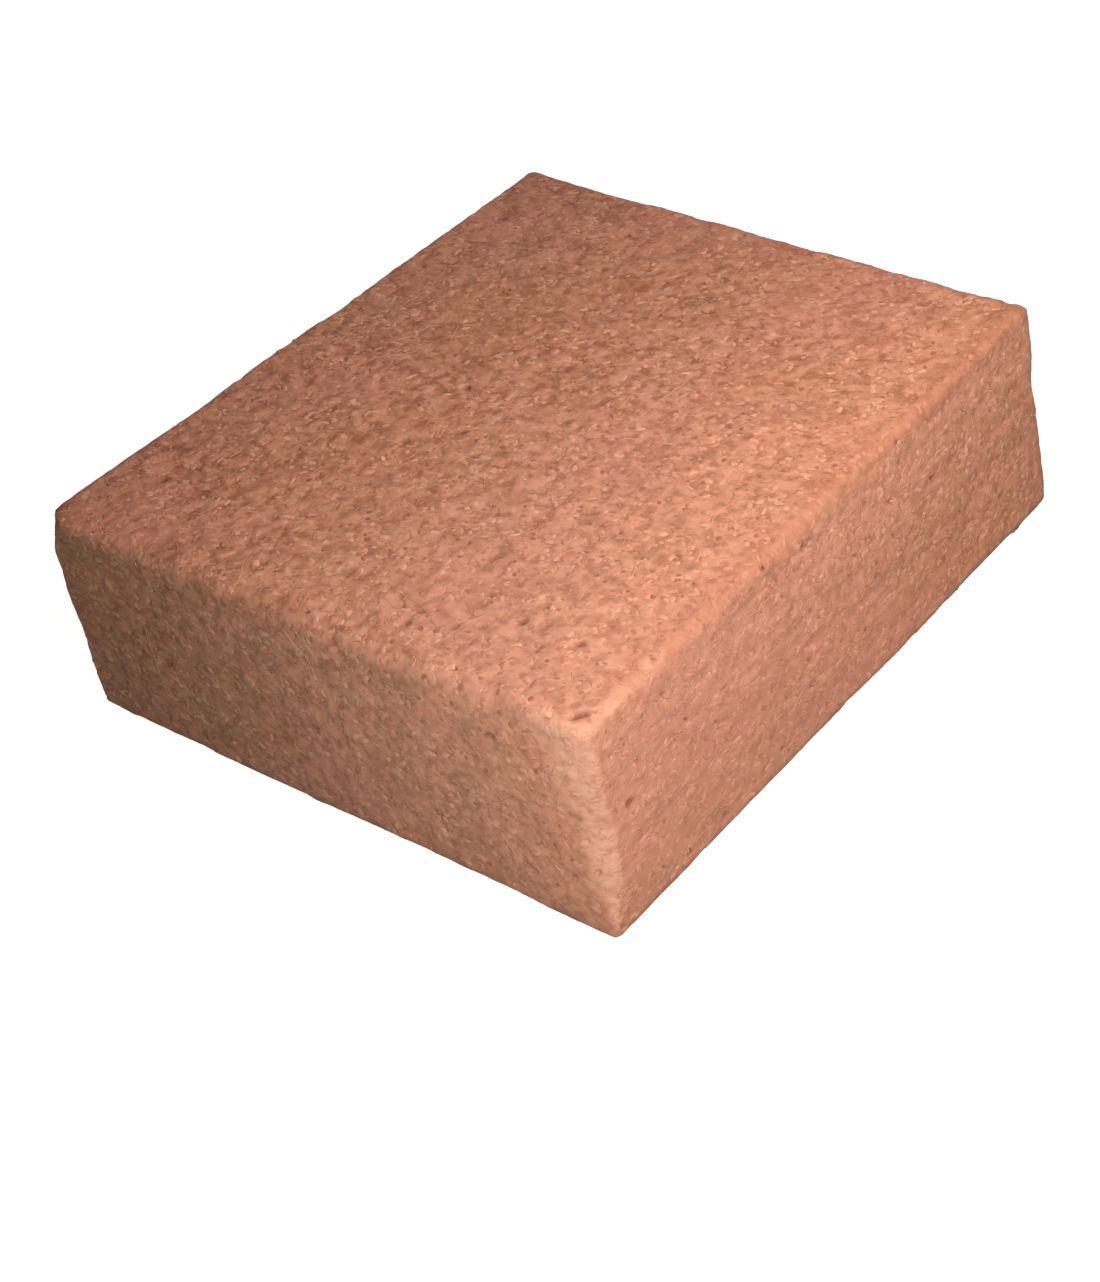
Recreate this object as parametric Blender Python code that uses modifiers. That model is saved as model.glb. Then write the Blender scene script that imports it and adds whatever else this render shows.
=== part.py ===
"""Coconut coir bale: coir pith and short fibres pressed dry in a mould into one block.

Metres, +Z up. The origin is on the flat underside, below the middle of the block. The longest side
runs along Y. The corner at +X -Y is called the near corner here: its edges are rubbed the most.
"""

import random

import bmesh
import bpy
from mathutils import Vector, noise

# Driving dimensions of the pressed block
LENGTH = 0.320
WIDTH = 0.282
HEIGHT = 0.101

# Radius of each rounded edge, by the two sides that it lies between. The mould's lid leaves the
# top edges soft, and the bottom edges stay the crispest.
EDGE_RADII = {
    (1, 0, 1): 0.0065,
    (0, -1, 1): 0.010,
    (-1, 0, 1): 0.0035,
    (0, 1, 1): 0.003,
    (1, -1, 0): 0.013,
    (1, 1, 0): 0.0025,
    (-1, 1, 0): 0.004,
    (-1, -1, 0): 0.004,
    (1, 0, -1): 0.002,
    (0, -1, -1): 0.002,
    (-1, 0, -1): 0.002,
    (0, 1, -1): 0.002,
}
EDGE_SEGMENTS = 4

# How the rounding changes along three of the edges. For each side of the edge in turn, its share
# of the radius at the low end, the middle and the high end of the edge, and how far in from the
# side the surface gives way to that.
EDGE_TAPERS = {
    (1, -1, 0): ((0.20, 1.45, 1.10), (0.20, 0.75, 0.50)),
    (1, 0, 1): ((0.80, 1.0, 0.35), (0.80, 1.0, 0.35)),
    (0, -1, 1): ((0.35, 1.0, 0.85), (0.35, 1.0, 0.85)),
}
TAPER_REACH = 0.060

# How far each corner of the block has crept from a true box, along X and Y
CORNER_CREEP = {
    (-1, -1, 1): (-0.0028, -0.0012),
    (1, -1, 1): (0.0, 0.0),
    (1, 1, 1): (-0.0052, -0.0056),
    (-1, 1, 1): (0.0002, 0.0022),
    (-1, -1, -1): (-0.0024, 0.0024),
    (1, -1, -1): (0.0012, 0.0002),
    (1, 1, -1): (0.0, 0.0011),
    (-1, 1, -1): (0.0, 0.0),
}

# The grid that carries the relief, and how far its points stray sideways, so that no row shows.
# The straying along X, Y and Z is read at three places of one noise.
CELL = 0.0084
STRAY = 0.0036
STRAY_SIZE = 0.005
STRAY_NOISE = (Vector((0.0, 0.0, 0.0)), Vector((5.2, 1.3, 8.7)), Vector((9.1, 4.4, 2.6)))

# Relief along the surface's normal: height and size of each swell, and where its noise is read
SWELLS = (
    (0.0007, 0.075, Vector((0.0, 2.9, 5.1))),
    (0.0005, 0.028, Vector((7.3, 2.9, 5.1))),
    (0.0004, 0.014, Vector((14.6, 2.9, 5.1))),
)

# Crumbled bites out of the edges: how deep, how long, how far in from the edge they reach, and
# the noise below which nothing has crumbled
CHIP_DEPTH = 0.0028
CHIP_SIZE = 0.016
CHIP_REACH = 0.012
CHIP_FLOOR = 0.12
CHIP_NOISE = Vector((1.7, 9.2, 3.3))

# The left top corner is knocked off flat: the way that the cut faces, and its depth
CUT_CORNER = (-1, -1, 1)
CUT_FACING = Vector((-0.66, -0.71, 0.24)).normalized()
CUT_DEPTH = 0.0040

# Worn and swollen corners: the corner, its move, and how far around it the move reaches
CORNER_WEAR = (
    ((1, -1, 1), (-0.0010, 0.0010, -0.0020), 0.024),
    ((-1, 1, -1), (0.0030, -0.0025, 0.0), 0.024),
)

# Small holes where a lump of pith has dropped out: the places of the plainest ones, and how many
# more are scattered over the top and the sides. A pit's slope is a share of its width, and the
# dimple in its floor is a share of its depth. Its cell is wider than it by PIT_ROOM.
PIT_PLACES = (
    (0.131, -0.150, 0.101),
    (-0.043, -0.005, 0.101),
    (0.135, -0.021, 0.089),
    (0.080, -0.120, 0.101),
    (0.107, -0.120, 0.101),
    (0.041, -0.140, 0.101),
    (0.141, -0.140, 0.053),
    (-0.040, -0.047, 0.101),
    (0.094, -0.160, 0.080),
    (0.009, 0.056, 0.101),
    (0.141, 0.070, 0.064),
    (-0.119, 0.117, 0.101),
)
SCATTERED_PITS = 26
PIT_WIDTH = (0.0030, 0.0050)
PIT_DEPTH = (0.0012, 0.0024)
PIT_RAGGED = 0.30
PIT_GRAIN = 0.0020
PIT_SLOPE = 0.22
PIT_DIMPLE = 0.33
PIT_ROOM = 1.1
PIT_SEED = 11

COIR_COLOUR = (0.50, 0.24, 0.145, 1.0)
COIR_ROUGHNESS = 0.95

TOUCHING = 1e-6
PARALLEL = 0.999
HALF = Vector((WIDTH / 2, LENGTH / 2, HEIGHT / 2))
MIDDLE = Vector((0, 0, HEIGHT / 2))


def clear_scene():
    for thing in list(bpy.data.objects):
        bpy.data.objects.remove(thing)


def place_in_box(point):
    """The point in units of the half sides, from -1 to 1 on each axis."""
    offset = point - MIDDLE
    return Vector(offset[axis] / HALF[axis] for axis in range(3))


def corner_of_box(corner):
    return MIDDLE + Vector(corner[axis] * HALF[axis] for axis in range(3))


def sides_of(edge):
    """The two sides that an edge of the box lies between, as signs on X, Y and Z."""
    middle = place_in_box((edge.verts[0].co + edge.verts[1].co) / 2)
    return tuple(round(value) for value in middle)


def mould_box(collection):
    """A true box at the driving dimensions, with a bevel weight on each edge for its radius."""
    mesh = bpy.data.meshes.new("coir_block")
    bm = bmesh.new()
    bmesh.ops.create_cube(bm, size=1)
    bmesh.ops.scale(bm, vec=(WIDTH, LENGTH, HEIGHT), verts=bm.verts)
    bmesh.ops.translate(bm, vec=MIDDLE, verts=bm.verts)
    weight = bm.edges.layers.float.new("bevel_weight_edge")
    widest = max(EDGE_RADII.values())
    for edge in bm.edges:
        edge[weight] = EDGE_RADII[sides_of(edge)] / widest
    bm.to_mesh(mesh)
    bm.free()
    block = bpy.data.objects.new("coir_block", mesh)
    collection.objects.link(block)
    return block


def round_edges(block):
    bevel = block.modifiers.new("Rounded edges", "BEVEL")
    bevel.limit_method = "WEIGHT"
    bevel.width = max(EDGE_RADII.values())
    bevel.segments = EDGE_SEGMENTS
    bpy.context.view_layer.objects.active = block
    bpy.ops.object.modifier_apply(modifier=bevel.name)


def lay_grid(bm):
    """Cuts every stretch that runs along an axis into cells, the rounded edges with the flats."""
    for axis, side in enumerate((WIDTH, LENGTH, HEIGHT)):
        runs = []
        for edge in bm.edges:
            span = edge.verts[1].co - edge.verts[0].co
            if span.length > CELL and abs(span.normalized()[axis]) > PARALLEL:
                runs.append(edge)
        cuts = round(side / CELL) - 2
        bmesh.ops.subdivide_edges(bm, edges=runs, cuts=cuts, use_grid_fill=True)


def corner_creep(point):
    """The shift at a point, blended from the shifts of the eight corners."""
    place = place_in_box(point)
    shift = Vector((0, 0, 0))
    for corner, (along_x, along_y) in CORNER_CREEP.items():
        share = 1.0
        for axis in range(3):
            share *= (1 + corner[axis] * place[axis]) / 2
        shift += share * Vector((along_x, along_y, 0))
    return shift


def between_stations(stations, along):
    """The value at a place along an edge, from -1 to 1, between those of its three stations."""
    low, middle, high = stations
    if along < 0:
        return middle + (low - middle) * -along
    return middle + (high - middle) * along


def strip_nearness(offset, radius):
    """1 where the edge is rounded, falling to 0 at TAPER_REACH from the side."""
    return min(1.0, max(0.0, (TAPER_REACH - offset) / (TAPER_REACH - radius)))


def edge_taper(point):
    """The shift that tightens or widens the rounding along the edges in EDGE_TAPERS."""
    place = place_in_box(point)
    shift = Vector((0, 0, 0))
    for sides, shares in EDGE_TAPERS.items():
        radius = EDGE_RADII[sides]
        along = place[sides.index(0)]
        axes = [axis for axis in range(3) if sides[axis]]
        offsets = [HALF[axis] * (1 - sides[axis] * place[axis]) for axis in axes]
        near = strip_nearness(offsets[0], radius) * strip_nearness(offsets[1], radius)
        for axis, offset, stations in zip(axes, offsets, shares):
            change = between_stations(stations, along) - 1
            shift[axis] -= sides[axis] * change * min(offset, radius) * near
    return shift


def corner_wear(point):
    shift = Vector((0, 0, 0))
    for corner, move, reach in CORNER_WEAR:
        near = max(0.0, 1 - (point - corner_of_box(corner)).length / reach)
        shift += Vector(move) * near * near * (3 - 2 * near)
    return shift


def swell(point):
    return sum(rise * noise.noise(point / size + away) for rise, size, away in SWELLS)


def edge_nearness(point):
    """1 on an edge of the block, 0 from CHIP_REACH inwards. The underside counts as no side."""
    gaps = (HALF.x - abs(point.x), HALF.y - abs(point.y), HEIGHT - point.z)
    second = max(sorted(gaps)[1], 0.0)
    return max(0.0, 1 - second / CHIP_REACH)


def chip(point):
    """How much has crumbled away here: nothing on most of an edge, and a bite now and then."""
    bite = noise.noise(point / CHIP_SIZE + CHIP_NOISE)
    return CHIP_DEPTH * max(0.0, bite - CHIP_FLOOR) * edge_nearness(point)


def stray(point, normal):
    """A sideways shift along the flats, fading out on the rounded edges."""
    way = Vector(noise.noise(point / STRAY_SIZE + away) for away in STRAY_NOISE)
    shift = STRAY * (1 - edge_nearness(point)) * way
    return shift - shift.dot(normal) * normal


def weather(bm):
    """Moves each point by the tapers, creep, wear, swells and chips, and keeps the underside flat."""
    bm.normal_update()
    moves = {}
    for vert in bm.verts:
        point = vert.co.copy()
        inward = (MIDDLE - point).normalized()
        move = edge_taper(point) + corner_creep(point) + corner_wear(point)
        move += stray(point, vert.normal)
        move += vert.normal * swell(point) + inward * chip(point)
        if point.z < TOUCHING:
            move.z = 0
        moves[vert] = move
    for vert, move in moves.items():
        vert.co += move
        vert.co.z = max(vert.co.z, 0.0)


def knock_off_corner(bm):
    """Flattens what stands beyond the cut on to it."""
    place = corner_of_box(CUT_CORNER) - CUT_FACING * CUT_DEPTH
    for vert in bm.verts:
        beyond = (vert.co - place).dot(CUT_FACING)
        vert.co -= CUT_FACING * max(0.0, beyond)


def press_pit(bm, face, width, depth):
    """Insets a ragged round ring in the face, insets it again inwards, and sinks the floor."""
    rim = (min(edge.calc_length() for edge in face.edges) - width) / 2
    bmesh.ops.inset_individual(bm, faces=[face], thickness=rim)
    for edge in list(face.edges):
        bmesh.utils.edge_split(edge, edge.verts[0], 0.5)
    centre = face.calc_center_median()
    for vert in face.verts:
        way = (vert.co - centre).normalized()
        ragged = 1 + PIT_RAGGED * noise.noise((centre + way * width) / PIT_GRAIN)
        vert.co = centre + way * width / 2 * ragged
    bmesh.ops.inset_individual(bm, faces=[face], thickness=width * PIT_SLOPE, depth=-depth)
    bmesh.ops.poke(bm, faces=[face], offset=-depth * PIT_DIMPLE)


def place_of_face(face):
    """The face's middle to a tenth of a micrometre, for an order that is the same on each run."""
    return tuple(round(value, 7) for value in face.calc_center_median())


def press_pits(bm):
    """Pits the faces nearest to the named places, and some others on the top and the sides."""
    chance = random.Random(PIT_SEED)
    bm.normal_update()
    wide_faces = []
    for face in sorted(bm.faces, key=place_of_face):
        shortest = min(edge.calc_length() for edge in face.edges)
        if shortest > PIT_WIDTH[1] * PIT_ROOM and face.calc_center_median().z > CELL:
            wide_faces.append(face)
    chosen = []
    for place in PIT_PLACES:
        spot = Vector(place)
        chosen.append(min(wide_faces, key=lambda face: (face.calc_center_median() - spot).length))
    others = [face for face in wide_faces if face not in chosen]
    chosen += chance.sample(others, SCATTERED_PITS)
    for face in chosen:
        press_pit(bm, face, chance.uniform(*PIT_WIDTH), chance.uniform(*PIT_DEPTH))


def close_underside(bm):
    """Makes the flat underside one face again, since no relief is on it."""
    flat = [face for face in bm.faces if all(vert.co.z < TOUCHING for vert in face.verts)]
    bmesh.ops.dissolve_faces(bm, faces=flat, use_verts=True)
    bmesh.ops.triangulate(bm, faces=bm.faces, quad_method="SHORT_EDGE", ngon_method="BEAUTY")


def centre_on_origin(bm):
    """Puts the middle of the block's box over the origin, and scales it to its driving dimensions."""
    low = Vector(min(vert.co[axis] for vert in bm.verts) for axis in range(3))
    high = Vector(max(vert.co[axis] for vert in bm.verts) for axis in range(3))
    middle = (low + high) / 2
    size = high - low
    bmesh.ops.translate(bm, vec=(-middle.x, -middle.y, -low.z), verts=bm.verts)
    scale = (WIDTH / size.x, LENGTH / size.y, HEIGHT / size.z)
    bmesh.ops.scale(bm, vec=scale, verts=bm.verts)


def coir_material():
    material = bpy.data.materials.new("pressed_coir")
    material.use_nodes = True
    shader = material.node_tree.nodes["Principled BSDF"]
    shader.inputs["Base Color"].default_value = COIR_COLOUR
    shader.inputs["Roughness"].default_value = COIR_ROUGHNESS
    shader.inputs["Metallic"].default_value = 0.0
    return material


def coir_block(collection):
    block = mould_box(collection)
    round_edges(block)
    bm = bmesh.new()
    bm.from_mesh(block.data)
    lay_grid(bm)
    weather(bm)
    knock_off_corner(bm)
    press_pits(bm)
    close_underside(bm)
    centre_on_origin(bm)
    bm.to_mesh(block.data)
    bm.free()
    block.data.materials.append(coir_material())
    return block


clear_scene()
bale = bpy.data.collections.new("coconut_coir_bale")
bpy.context.scene.collection.children.link(bale)
coir_block(bale)
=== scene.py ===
# %% [markdown]
# # A block of pressed coconut coir
# The husk of a coconut gives two things: pith, which is brown and spongy like cork crumbs, and
# short pale fibres. A press squeezes both, dry, into a block with soft worn edges. This lesson
# dresses the plain solid of such a block. The solid fixes the size and the place, and the skin
# here adds what a hand and an eye find on it: crumbs, pores, bites out of the edges, and tens of
# thousands of fibre ends lying in the pith.

# %% Load the plain solid
import math

import bpy
import numpy as np
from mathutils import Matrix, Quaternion, Vector, kdtree
from mathutils.bvhtree import BVHTree


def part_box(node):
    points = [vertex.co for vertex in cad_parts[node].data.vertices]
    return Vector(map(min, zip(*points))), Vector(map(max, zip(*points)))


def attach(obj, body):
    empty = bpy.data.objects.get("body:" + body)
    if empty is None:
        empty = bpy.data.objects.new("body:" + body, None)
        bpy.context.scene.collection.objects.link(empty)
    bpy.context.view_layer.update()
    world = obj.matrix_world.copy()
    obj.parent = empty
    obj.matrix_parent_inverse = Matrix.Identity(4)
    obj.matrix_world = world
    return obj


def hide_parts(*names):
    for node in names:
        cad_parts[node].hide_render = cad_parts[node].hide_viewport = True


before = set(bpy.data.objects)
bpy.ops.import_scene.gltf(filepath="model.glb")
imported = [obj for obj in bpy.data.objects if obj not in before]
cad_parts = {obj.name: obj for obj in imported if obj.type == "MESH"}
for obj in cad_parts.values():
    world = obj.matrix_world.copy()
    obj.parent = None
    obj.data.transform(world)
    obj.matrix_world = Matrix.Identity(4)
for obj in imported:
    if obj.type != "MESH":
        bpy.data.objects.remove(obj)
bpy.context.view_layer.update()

low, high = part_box("coir_block")
size = high - low
middle = (low + high) / 2
print("block, mm:", [round(1000 * side, 1) for side in size])

# %% [markdown]
# ## The camera
# The view is that of the reference picture: from above the near corner, with a long lens, and
# tipped a little to one side. Place, aim and tilt are enough to say where a camera is, and they
# are easier to change by hand than three angles.

# %% Camera
CAMERA_PLACE = Vector((0.6251, -0.6701, 0.6836))
CAMERA_AIM = Vector((0.0510, -0.0760, 0.0500))
CAMERA_TILT = math.radians(-9.48)
LENS = 73.91

camera_data = bpy.data.cameras.new("camera")
camera_data.lens = LENS
camera_data.sensor_width = 36
camera = bpy.data.objects.new("camera", camera_data)
bpy.context.scene.collection.objects.link(camera)
look = (CAMERA_PLACE - CAMERA_AIM).to_track_quat("Z", "Y")
camera.location = CAMERA_PLACE
camera.rotation_euler = (look @ Quaternion((0, 0, 1), CAMERA_TILT)).to_euler()
bpy.context.scene.camera = camera
print("camera is", round((CAMERA_PLACE - CAMERA_AIM).length, 2), "m from what it looks at")

# %% [markdown]
# ## Floor and light
# White paper under a small thing throws light back up at it, and would wash out its shaded side.
# So there are two sheets here. The camera sees the pale one. Only the block's own light rays meet
# the grey one, which is what a table would send back. Two soft lamps stand close by, one low in
# front and one higher on the right: near lamps are what make the far end of the block darker than
# the near one, and the side that they only graze darker still. A third, far off behind, only keeps
# the back from going black.


# %% A few small helpers for everything that follows
def start_clean():
    """Object mode, with nothing selected: an operator acts on all that is selected."""
    if bpy.context.mode != "OBJECT":
        bpy.ops.object.mode_set(mode="OBJECT")
    bpy.ops.object.select_all(action="DESELECT")


def points_of(mesh):
    places = np.empty(len(mesh.vertices) * 3, np.float32)
    mesh.vertices.foreach_get("co", places)
    return places.reshape(-1, 3).astype(float)


def set_points(mesh, places):
    mesh.vertices.foreach_set("co", places.astype(np.float32).ravel())
    mesh.update()


def new_material(name, colour, roughness):
    """A material with its Principled shader, whose fixed values sit on its own sockets."""
    material = bpy.data.materials.new(name)
    material.use_nodes = True
    shader = material.node_tree.nodes["Principled BSDF"]
    shader.inputs["Base Color"].default_value = (*colour, 1)
    shader.inputs["Roughness"].default_value = roughness
    return material, shader


# %% The two sheets
SHEET = 8.0
PAPER_GLOW = 0.93


def lay_sheet(name, drop, colour):
    start_clean()
    bpy.ops.mesh.primitive_plane_add(size=SHEET, location=(0, 0, -drop))
    sheet = bpy.context.object
    sheet.name = name
    material, shader = new_material(name, colour, 1.0)
    shader.inputs["Specular IOR Level"].default_value = 0.0
    sheet.data.materials.append(material)
    return sheet, shader


paper, paper_shader = lay_sheet("paper", 0.0004, (0.35, 0.35, 0.35))
paper_shader.inputs["Emission Color"].default_value = (1, 1, 1, 1)
paper_shader.inputs["Emission Strength"].default_value = PAPER_GLOW
paper.visible_diffuse = False
paper.visible_shadow = False
table, _ = lay_sheet("table", 0.0008, (0.205, 0.197, 0.160))
table.visible_camera = False
print("sheets:", paper.name, table.name)

# %% Three lamps and the room
# Each lamp's turn and rise in degrees, as seen from the block's middle, then its distance and
# side in metres, and its watts
LAMPS = (
    (33, 17, 0.46, 0.26, 0.90),
    (93, 47, 0.45, 0.40, 2.43),
    (225, 8, 0.90, 0.24, 2.50),
)
LAMP_COLOUR = (1.0, 0.975, 0.955)
ROOM_LIGHT = 0.09
ROOM_TINT = (1.0, 0.98, 0.84)
ROOM_SEEN = 0.92


def hang_lamp(order, turn, rise, far, side, watts):
    data = bpy.data.lights.new(f"soft_lamp_{order}", "AREA")
    data.size = side
    data.energy = watts
    data.color = LAMP_COLOUR
    lamp = bpy.data.objects.new(data.name, data)
    bpy.context.scene.collection.objects.link(lamp)
    turn, rise = math.radians(turn), math.radians(rise)
    way = Vector((math.sin(turn) * math.cos(rise), -math.cos(turn) * math.cos(rise), math.sin(rise)))
    lamp.location = middle + way * far
    lamp.rotation_euler = way.to_track_quat("Z", "Y").to_euler()
    lamp.visible_camera = False
    print(lamp.name, "at", [round(value, 2) for value in lamp.location])


for order, lamp in enumerate(LAMPS, 1):
    hang_lamp(order, *lamp)

room = bpy.data.worlds.new("room")
room.use_nodes = True
bpy.context.scene.world = room
room_nodes, room_links = room.node_tree.nodes, room.node_tree.links
seen = room_nodes.new("ShaderNodeLightPath")
strength = room_nodes.new("ShaderNodeMix")
strength.inputs[2].default_value = ROOM_LIGHT
strength.inputs[3].default_value = ROOM_SEEN
room_links.new(seen.outputs["Is Camera Ray"], strength.inputs[0])
room_links.new(strength.outputs[0], room_nodes["Background"].inputs["Strength"])
tint = room_nodes.new("ShaderNodeMix")
tint.data_type = "RGBA"
tint.inputs[6].default_value = (*ROOM_TINT, 1)
tint.inputs[7].default_value = (1, 1, 1, 1)
room_links.new(seen.outputs["Is Camera Ray"], tint.inputs[0])
room_links.new(tint.outputs[2], room_nodes["Background"].inputs["Color"])
bpy.context.scene.view_settings.view_transform = "Standard"
print("the room lights with", ROOM_LIGHT)

# %% [markdown]
# ## The skin of the block
# The real block left a mould, so its big shape is a box, and the solid already carries how that
# box has sagged, chipped and rounded. The skin starts as a box too, whose eight corners are first
# drawn in to those of the solid. It gets a fine and even mesh, and is shrink-wrapped on to the
# solid. A voxel remesh gives such a mesh in one step: its faces are all the same size, also where
# the rounded edges meet, so relief looks the same everywhere.

# %% A box with slightly rounded edges
# How round its edges are, and how far off a corner of it the solid is asked for its own
START_RADIUS = 0.0020
CORNER_REACH = 0.025

start_clean()
bpy.ops.mesh.primitive_cube_add(size=1, location=middle, scale=size)
skin = bpy.context.object
skin.name = "coir_skin"
bpy.ops.object.transform_apply(location=True, rotation=False, scale=True)
solid_points = points_of(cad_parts["coir_block"].data)
corners = points_of(skin.data)
for corner in corners:
    nearby = solid_points[np.linalg.norm(solid_points - corner, axis=1) < CORNER_REACH]
    corner[:] = np.where(corner > np.array(middle), nearby.max(axis=0), nearby.min(axis=0))
set_points(skin.data, corners)
bpy.ops.object.mode_set(mode="EDIT")
bpy.ops.mesh.select_all(action="SELECT")
bpy.ops.mesh.bevel(offset=START_RADIUS, segments=3, affect="EDGES")
bpy.ops.object.mode_set(mode="OBJECT")
print("faces of the box:", len(skin.data.polygons))

# %% Remeshing and wrapping
CELL = 0.00150


def use_modifier(piece, name, kind, **settings):
    """Adds a modifier, sets it and applies it."""
    modifier = piece.modifiers.new(name, kind)
    for setting, value in settings.items():
        setattr(modifier, setting, value)
    bpy.context.view_layer.objects.active = piece
    bpy.ops.object.modifier_apply(modifier=modifier.name)


use_modifier(skin, "even mesh", "REMESH", mode="VOXEL", voxel_size=CELL)
use_modifier(skin, "wrap", "SHRINKWRAP", target=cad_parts["coir_block"])
use_modifier(skin, "ease", "SMOOTH", factor=0.5, iterations=2)
print("skin faces:", len(skin.data.polygons))

# %% One plain face for the underside
FLAT = 0.0006

places = points_of(skin.data)
places[places[:, 2] < FLAT, 2] = 0.0
set_points(skin.data, places)
start_clean()
skin.select_set(True)
bpy.context.view_layer.objects.active = skin
bpy.ops.object.mode_set(mode="EDIT")
bpy.ops.mesh.select_all(action="DESELECT")
bpy.ops.object.mode_set(mode="OBJECT")
for face in skin.data.polygons:
    face.select = all(places[index, 2] == 0.0 for index in face.vertices)
bpy.ops.object.mode_set(mode="EDIT")
bpy.ops.mesh.select_mode(type="FACE")
bpy.ops.mesh.dissolve_faces()
bpy.ops.object.mode_set(mode="OBJECT")
print("faces once the underside is one:", len(skin.data.polygons))

# %% [markdown]
# A sheet of paper wrapped round a box is cut into six flat pieces. The same is done here with the
# skin: each face takes its place on the sheet from the side of the box that it looks out of, at
# true scale. The fibres in the finish are drawn in these flat coordinates, so that they lie in
# the surface and don't cut through it. The map keeps the name that the export looks for.

# %% Six flat sides on one sheet
MAP = "OFBake"
MAP_SIDE = 0.64
GAP = 0.006


def flat_layout():
    """For each side, by its axis and sign: the directions of u and v, and the island's corner."""
    width, length, height = size
    second_row = length + 2 * GAP
    third_row = second_row + height + GAP
    return {
        (2, 1): ((1, 0, 0), (0, 1, 0), (GAP, GAP), (width, length)),
        (2, -1): ((1, 0, 0), (0, -1, 0), (width + 2 * GAP, GAP), (width, length)),
        (0, 1): ((0, 1, 0), (0, 0, 1), (GAP, second_row), (length, height)),
        (0, -1): ((0, -1, 0), (0, 0, 1), (GAP, third_row), (length, height)),
        (1, 1): ((-1, 0, 0), (0, 0, 1), (length + 2 * GAP, second_row), (width, height)),
        (1, -1): ((1, 0, 0), (0, 0, 1), (length + 2 * GAP, third_row), (width, height)),
    }


def lay_flat(mesh):
    normals = np.empty(len(mesh.polygons) * 3, np.float32)
    mesh.polygons.foreach_get("normal", normals)
    normals = normals.reshape(-1, 3)
    counts = np.empty(len(mesh.polygons), np.int32)
    mesh.polygons.foreach_get("loop_total", counts)
    corners = np.empty(len(mesh.loops), np.int32)
    mesh.loops.foreach_get("vertex_index", corners)
    around = points_of(mesh)[corners] - np.array(middle)
    steepest = np.argmax(np.abs(normals), axis=1)
    axis = np.repeat(steepest, counts)
    sign = np.repeat(np.sign(normals[np.arange(len(normals)), steepest]), counts)
    flat = np.zeros((len(corners), 2))
    for (side_axis, side_sign), (along, up, corner, extent) in flat_layout().items():
        here = (axis == side_axis) & (sign == side_sign)
        flat[here, 0] = around[here] @ np.array(along) + corner[0] + extent[0] / 2
        flat[here, 1] = around[here] @ np.array(up) + corner[1] + extent[1] / 2
    layer = mesh.uv_layers.new(name=MAP)
    layer.data.foreach_set("uv", (flat / MAP_SIDE).astype(np.float32).ravel())


lay_flat(skin.data)
print("sheet is", MAP_SIDE, "m wide")

# %% [markdown]
# ## Relief
# Pressed pith is lumpy at three scales: swellings as wide as a thumb, crumbs the size of a
# peppercorn, and grit. Each is one Displace modifier with a cloud texture. The sides show faint
# level bands, because the mould was filled in layers, and the edges have lost crumbs. Vertex
# groups say where each relief acts. The underside stays flat, because the mould's floor was.

# %% Where each relief acts
EDGE_REACH = 0.012
SIDE_REACH = 0.012
FOOT_FLAT = 0.004
HALF = np.array([size.x / 2, size.y / 2])
TOP = high.z


def falling(distance, reach):
    """1 at no distance, falling to 0 at the reach."""
    return np.clip(1 - distance / reach, 0, 1)


def rising(distance, reach):
    """0 at no distance, rising to 1 at the reach."""
    return np.clip(distance / reach, 0, 1)


def edge_nearness(places, reach):
    """1 on an edge of the block, falling to 0 at that distance from it."""
    gaps = np.column_stack([HALF - np.abs(places[:, :2]), TOP - places[:, 2]])
    return falling(np.sort(gaps, axis=1)[:, 1], reach)


def add_group(piece, name, shares, levels=16):
    """A vertex group from an array of shares, rounded to a few levels."""
    group = piece.vertex_groups.new(name=name)
    steps = np.round(shares * levels).astype(int)
    for step in range(1, levels + 1):
        group.add(np.flatnonzero(steps == step).tolist(), step / levels, "REPLACE")


def right_share_of(places):
    """1 on the right side, which the mould's wall left smoother, falling to 0 on its neighbours."""
    below_top = rising(TOP - places[:, 2], SIDE_REACH)
    return falling(HALF[0] - places[:, 0], SIDE_REACH) * below_top


places = points_of(skin.data)
lifted = rising(places[:, 2], FOOT_FLAT)
side_share = lifted * rising(TOP - places[:, 2], SIDE_REACH)
right_share = right_share_of(places)
by_edge = edge_nearness(places, EDGE_REACH)
add_group(skin, "weathered", lifted * (1 - 0.5 * right_share) * (1 - 0.8 * by_edge))
add_group(skin, "sides", side_share * (1 - 0.8 * by_edge))
add_group(skin, "edges", by_edge * lifted)
print("groups:", [group.name for group in skin.vertex_groups])

# %% Lumps, crumbs, grit, bands and bites
# For each relief: the group that it acts in, its grain and height in metres, the grey that stays
# where it is, and how fine its noise goes
RELIEFS = (
    ("lumps", "weathered", 0.0120, 0.0008, 0.5, 1),
    ("crumbs", "weathered", 0.0048, 0.0010, 0.5, 0),
    ("grit", "weathered", 0.0026, 0.0002, 0.5, 0),
    ("bands", "sides", 1.0, 0.0004, 0.5, 0),
    ("bites", "edges", 0.0060, 0.0003, 0.62, 1),
)
BAND_STRETCH = (0.030, 0.030, 0.0040)

bands = bpy.data.objects.new("bands", None)
bpy.context.scene.collection.objects.link(bands)
bands.scale = BAND_STRETCH
bpy.context.view_layer.update()
for name, group, grain, height, rest, depth in RELIEFS:
    cloud = bpy.data.textures.new(name, "CLOUDS")
    cloud.noise_scale = grain
    cloud.noise_depth = depth
    settings = {"texture": cloud, "strength": height, "mid_level": rest, "vertex_group": group}
    if name == "bands":
        settings.update(texture_coords="OBJECT", texture_coords_object=bands)
    use_modifier(skin, name, "DISPLACE", **settings)
bpy.data.objects.remove(bands)
print("reliefs:", len(RELIEFS))

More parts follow.
